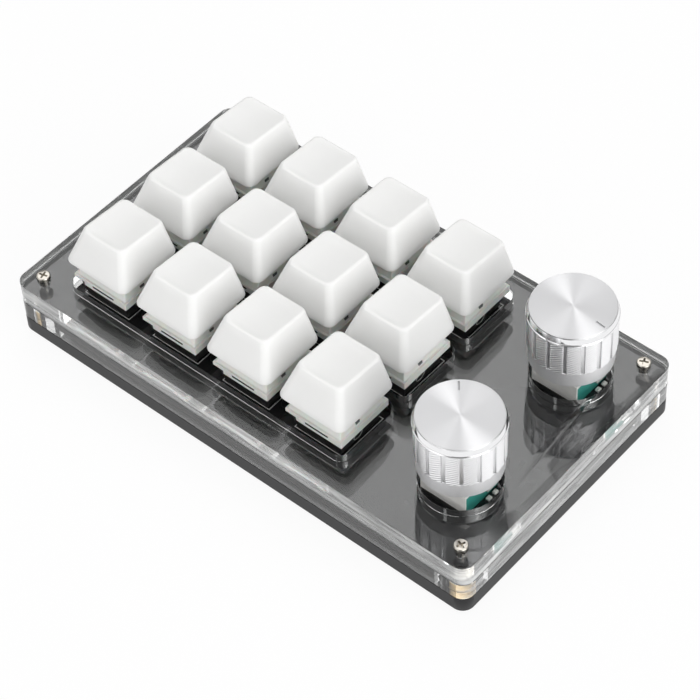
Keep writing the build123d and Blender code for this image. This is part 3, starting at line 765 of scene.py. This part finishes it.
def board_print():
    """White squares printed on the board round each switch."""
    vertices, faces = [], []

    def ring(inner, outer):
        """Thin closed band between two outlines."""
        start = len(vertices)
        count = len(inner)
        for points, level in ((outer, 0), (inner, 0), (outer, 1), (inner, 1)):
            height = board_top + PRINT_LIFT + PRINT_THICKNESS * level
            vertices.extend((x, y, height) for x, y in points)
        for i in range(count):
            j = (i + 1) % count
            o0, i0, o1, i1 = start, start + count, start + 2 * count, start + 3 * count
            faces.append((o1 + i, o1 + j, i1 + j, i1 + i))
            faces.append((o0 + i, o0 + j, o1 + j, o1 + i))
            faces.append((i1 + i, i1 + j, i0 + j, i0 + i))
            faces.append((i0 + i, i0 + j, o0 + j, o0 + i))

    def square(centre, half):
        """Corners of a square about a centre."""
        return [(centre.x + x * half, centre.y + y * half) for x, y in ((1, 1), (-1, 1), (-1, -1), (1, -1))]

    for key in KEYS:
        centre = middle(f"stem_{key}") + Vector((*PRINT_SHIFT, 0))
        half = PRINT_SQUARE / 2
        ring(square(centre, half - PRINT_LINE), square(centre, half))
    mesh = mesh_from("board_print", vertices, faces, [print_and_highlight_white], smooth=20)
    piece = new_object("board_print", mesh)
    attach(piece, "case")


def housing_marks():
    """Thin moulded ring on one sloping face of each lower housing, in the print's white as a painted
    highlight.
    """
    foot, slope = HOUSING_FOOT / 2, HOUSING_SLOPE
    steps = [2 * math.pi * i / 32 for i in range(32)]
    count = len(steps)
    vertices, faces = [], []
    for key in KEYS:
        centre = middle(f"stem_{key}")
        start = len(vertices)
        for radius, lift in (
            (MARK_RADIUS, 0.0), (MARK_RADIUS, MARK_LIFT),
            (MARK_RADIUS - MARK_LINE, MARK_LIFT), (MARK_RADIUS - MARK_LINE, 0.0),
        ):
            for a in steps:
                level = MARK_LEVEL + radius * math.sin(a)
                x = centre.x + foot + slope * level + lift
                vertices.append((x, centre.y + MARK_SHIFT + radius * math.cos(a), board_top + level))
        for loop in range(4):
            low, high = start + loop * count, start + (loop + 1) % 4 * count
            for i in range(count):
                j = (i + 1) % count
                faces.append((low + i, low + j, high + j, high + i))
    # The ring takes the white: painted highlight on the black housing
    mesh = mesh_from("housing_marks", vertices, faces, [print_and_highlight_white], smooth=30)
    piece = new_object("housing_marks", mesh)
    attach(piece, "case")


def latch_clips_and_shade():
    """Black clips of the lower housings in the latch slits of the upper ones, which also paint the shade
    inside the slits, and a hook on one side.
    """
    upper_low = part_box("switch_upper_housings")[0]
    flange_half = middle("stem_01").x - upper_low.x
    level = upper_low.z + CLIP_LEVEL
    hook_level = upper_low.z + FLANGE_HEIGHT
    clips = bmesh.new()
    for key in KEYS:
        centre = middle(f"stem_{key}")
        reach = flange_half + CLIP_PROUD - CLIP_DEPTH / 2
        # Black blocks fill each slit: the lower housing's clip and painted shade in the slit
        blocks = [
            (CLIP_OFFSET, side * reach, CLIP_LENGTH, CLIP_DEPTH, level, CLIP_HEIGHT) for side in (-1, 1)
        ]
        hook_reach = HOOK_REACH - CLIP_DEPTH / 2
        blocks.append((hook_reach, HOOK_SHIFT, CLIP_DEPTH, HOOK_WIDTH, hook_level, HOOK_HEIGHT))
        for x, y, length, depth, low, height in blocks:
            outline = rounded_rectangle(length / 2, depth / 2, CLIP_CORNER, 3, 1)
            points = [(centre.x + x + u, centre.y + y + v) for u, v in outline]
            clips.from_mesh(prism(points, low, low + height))
    mesh = bpy.data.meshes.new("latch_clips_and_shade")
    clips.to_mesh(mesh)
    clips.free()
    mesh.materials.append(housing_black)
    mesh.materials.append(hook_grey)
    for face in mesh.polygons:
        face.material_index = int(face.center.z > hook_level)
    piece = new_object("latch_clips_and_shade", mesh)
    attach(piece, "case")


def encoder_pins_and_shade():
    """Plated pins on the board beside each encoder, and a black bar along its front foot that paints the
    shade at the foot.
    """
    for place in KNOBS:
        centre = middle(f"encoder_rotor_{place}")
        pins = bmesh.new()
        blocks = [(PIN_REACH, y, PIN_LENGTH, PIN_WIDTH, PIN_HEIGHT) for y in PIN_PLACES]
        # Black bar on the encoder's front foot: painted shade
        blocks.append((0.0, -SHADE_BAR_REACH, SHADE_BAR_LENGTH, SHADE_BAR_DEPTH, SHADE_BAR_HEIGHT))
        for x, y, length, depth, height in blocks:
            outline = rounded_rectangle(length / 2, depth / 2, PIN_CORNER, 4, 1)
            points = [(centre.x + x + u, centre.y + y + v) for u, v in outline]
            pins.from_mesh(prism(points, board_top + PIN_LIFT, board_top + height))
        sharp = [edge for edge in pins.edges if edge.calc_face_angle(0.0) > math.radians(60)]
        chamfer(pins, sharp, PIN_EDGE)
        mesh = bpy.data.meshes.new(f"encoder_pins_and_shade_{place}")
        pins.to_mesh(mesh)
        pins.free()
        mesh.materials.append(plated)
        # The bar's faces take the black: painted shade at the encoder's foot
        mesh.materials.append(rotor_black_and_shade)
        for face in mesh.polygons:
            face.material_index = int(face.center.y < centre.y - SHADE_BAR_REACH + SHADE_BAR_DEPTH)
        piece = new_object(f"encoder_pins_and_shade_{place}", mesh)
        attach(piece, "case")


def clear_rim():
    """Clear strip round the edge of the board, between the cover and the frame."""
    length, width = (cover_high - cover_low).xy
    half_x, half_y = length / 2 - SEAM, width / 2 - SEAM
    inner_x, inner_y = (board_high.x - board_low.x) / 2 + SEAM, (board_high.y - board_low.y) / 2 + SEAM
    outer = rounded_rectangle(half_x, half_y, RIM_CORNER - SEAM, 8, 1)
    inner = rounded_rectangle(inner_x, inner_y, RIM_CORNER - (half_x - inner_x), 8, 1)
    centre = (cover_low + cover_high) / 2
    foot, top = board_low.z + SEAM, board_high.z
    loops = [(inner, foot), (outer, foot), (outer, top), (inner, top)]
    rings = [[(centre.x + x, centre.y + y, z) for x, y in loop] for loop, z in loops]
    vertices, faces = skin(rings + rings[:1], close_low=False, close_high=False)
    count = len(outer)
    wrapped = [tuple(index % (4 * count) for index in face) for face in faces]
    mesh = mesh_from("clear_rim", vertices[:4 * count], wrapped, [clear_rim_edge], smooth=30)
    piece = new_object("clear_rim", mesh)
    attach(piece, "case")


# Surround: direction of each bright area, cosines at its edge and middle, strength, half-width if a strip
AMBIENT = 0.32
SKY = (
    ((-0.3, 0.33, 0.89), 0.82, 0.94, 2.0, None),
    ((-0.35, -0.91, 0.2), 0.78, 0.95, 1.55, None),
    ((0.85, -0.1, 0.45), 0.78, 0.95, 3.3, None),
    ((-0.05, -0.65, 0.755), 0.75, 0.95, 1.9, 0.03),
    ((0.64, -0.1, 0.755), 0.75, 0.95, 1.9, 0.03),
)
FLOOR_WHITE = 0.92
FLOOR_REACH = 3.0


def narrowed(made, links, place, toward, strip, level):
    """An area's level kept only within a half-width of its upright middle plane."""
    across = made.new("ShaderNodeVectorMath")
    across.operation = "DOT_PRODUCT"
    across.inputs[1].default_value = Vector((-toward[1], toward[0], 0)).normalized()
    links.new(place.outputs["Generated"], across.inputs[0])
    apart = made.new("ShaderNodeMath")
    apart.operation = "ABSOLUTE"
    links.new(across.outputs["Value"], apart.inputs[0])
    keep = made.new("ShaderNodeMapRange")
    keep.interpolation_type = "SMOOTHSTEP"
    keep.inputs["From Min"].default_value = strip
    keep.inputs["From Max"].default_value = strip * 2
    keep.inputs["To Min"].default_value = 1.0
    keep.inputs["To Max"].default_value = 0.0
    links.new(apart.outputs[0], keep.inputs["Value"])
    kept = made.new("ShaderNodeMath")
    kept.operation = "MULTIPLY"
    links.new(level, kept.inputs[0])
    links.new(keep.outputs["Result"], kept.inputs[1])
    return kept.outputs[0]


def add_world():
    """White surround with the bright areas and strips that SKY lists."""
    world = bpy.data.worlds.new("surround")
    bpy.context.scene.world = world
    world.use_nodes = True
    made, links = world.node_tree.nodes, world.node_tree.links
    made.clear()
    place = made.new("ShaderNodeTexCoord")
    total = None
    for toward, start, end, strength, strip in SKY:
        along = made.new("ShaderNodeVectorMath")
        along.operation = "DOT_PRODUCT"
        along.inputs[1].default_value = Vector(toward).normalized()
        links.new(place.outputs["Generated"], along.inputs[0])
        glow = made.new("ShaderNodeMapRange")
        glow.interpolation_type = "SMOOTHSTEP"
        glow.inputs["From Min"].default_value = start
        glow.inputs["From Max"].default_value = end
        glow.inputs["To Min"].default_value = 0.0
        glow.inputs["To Max"].default_value = strength
        links.new(along.outputs["Value"], glow.inputs["Value"])
        level = glow.outputs["Result"]
        if strip is not None:
            level = narrowed(made, links, place, toward, strip, level)
        plus = made.new("ShaderNodeMath")
        plus.inputs[0].default_value = AMBIENT
        if total is not None:
            links.new(total, plus.inputs[0])
        links.new(level, plus.inputs[1])
        total = plus.outputs[0]
    lit = made.new("ShaderNodeBackground")
    links.new(total, lit.inputs["Strength"])
    shown = made.new("ShaderNodeBackground")
    shown.inputs["Strength"].default_value = 1.0
    path = made.new("ShaderNodeLightPath")
    choose = made.new("ShaderNodeMixShader")
    links.new(path.outputs["Is Camera Ray"], choose.inputs[0])
    links.new(lit.outputs[0], choose.inputs[1])
    links.new(shown.outputs[0], choose.inputs[2])
    output = made.new("ShaderNodeOutputWorld")
    links.new(choose.outputs[0], output.inputs["Surface"])


def add_floor():
    """Pale floor, white to camera, mirror and clear rays, that keeps a little of the object's shadow."""
    material = bpy.data.materials.new("pale_floor")
    material.use_nodes = True
    made, links = material.node_tree.nodes, material.node_tree.links
    made.clear()
    matt = made.new("ShaderNodeBsdfDiffuse")
    matt.inputs["Color"].default_value = (0.9, 0.9, 0.9, 1.0)
    shown = made.new("ShaderNodeEmission")
    shown.inputs["Strength"].default_value = 1.0
    path = made.new("ShaderNodeLightPath")
    seen = path.outputs["Is Camera Ray"]
    for ray in ("Is Transmission Ray", "Is Glossy Ray"):
        either = made.new("ShaderNodeMath")
        either.operation = "MAXIMUM"
        links.new(seen, either.inputs[0])
        links.new(path.outputs[ray], either.inputs[1])
        seen = either.outputs[0]
    keep = made.new("ShaderNodeMath")
    keep.operation = "MULTIPLY"
    keep.inputs[1].default_value = FLOOR_WHITE
    links.new(seen, keep.inputs[0])
    choose = made.new("ShaderNodeMixShader")
    links.new(keep.outputs[0], choose.inputs[0])
    links.new(matt.outputs[0], choose.inputs[1])
    links.new(shown.outputs[0], choose.inputs[2])
    output = made.new("ShaderNodeOutputMaterial")
    links.new(choose.outputs[0], output.inputs["Surface"])
    corners = [(x * FLOOR_REACH, y * FLOOR_REACH, 0) for x, y in ((-1, -1), (1, -1), (1, 1), (-1, 1))]
    floor = new_object("floor", mesh_from("floor", corners, [(0, 1, 2, 3)], [material]))
    floor.location.z = cad_low.z


def add_camera():
    """Camera at the photo's place, with its lens and roll."""
    azimuth, elevation = CAMERA_AZIMUTH, CAMERA_ELEVATION
    back = Vector((
        math.sin(azimuth) * math.cos(elevation),
        -math.cos(azimuth) * math.cos(elevation),
        math.sin(elevation),
    ))
    level = Vector((0, 0, 1)).cross(back).normalized()
    above = back.cross(level)
    turn, lean = math.cos(CAMERA_ROLL), math.sin(CAMERA_ROLL)
    right = level * turn + above * lean
    up = above * turn - level * lean
    spot = -(right * CAMERA_SHIFT.x + up * CAMERA_SHIFT.y + back * CAMERA_SHIFT.z)
    spot.z += deck
    data = bpy.data.cameras.new("camera")
    data.lens = CAMERA_LENS
    data.sensor_width = SENSOR
    data.clip_start = 0.01
    data.clip_end = 20.0
    camera = bpy.data.objects.new("camera", data)
    camera.matrix_world = Matrix((
        (right.x, up.x, back.x, spot.x),
        (right.y, up.y, back.y, spot.y),
        (right.z, up.z, back.z, spot.z),
        (0, 0, 0, 1),
    ))
    bpy.context.scene.collection.objects.link(camera)
    bpy.context.scene.camera = camera


paint_frame()
clear_case()
keycaps()
knobs()
screw_heads()
springs()
board_print()
housing_marks()
latch_clips_and_shade()
encoder_pins_and_shade()
clear_rim()
for name, width in SOFT_EDGES.items():
    soften(name, width)
add_world()
add_floor()
add_camera()
bpy.context.scene.view_settings.view_transform = "Standard"
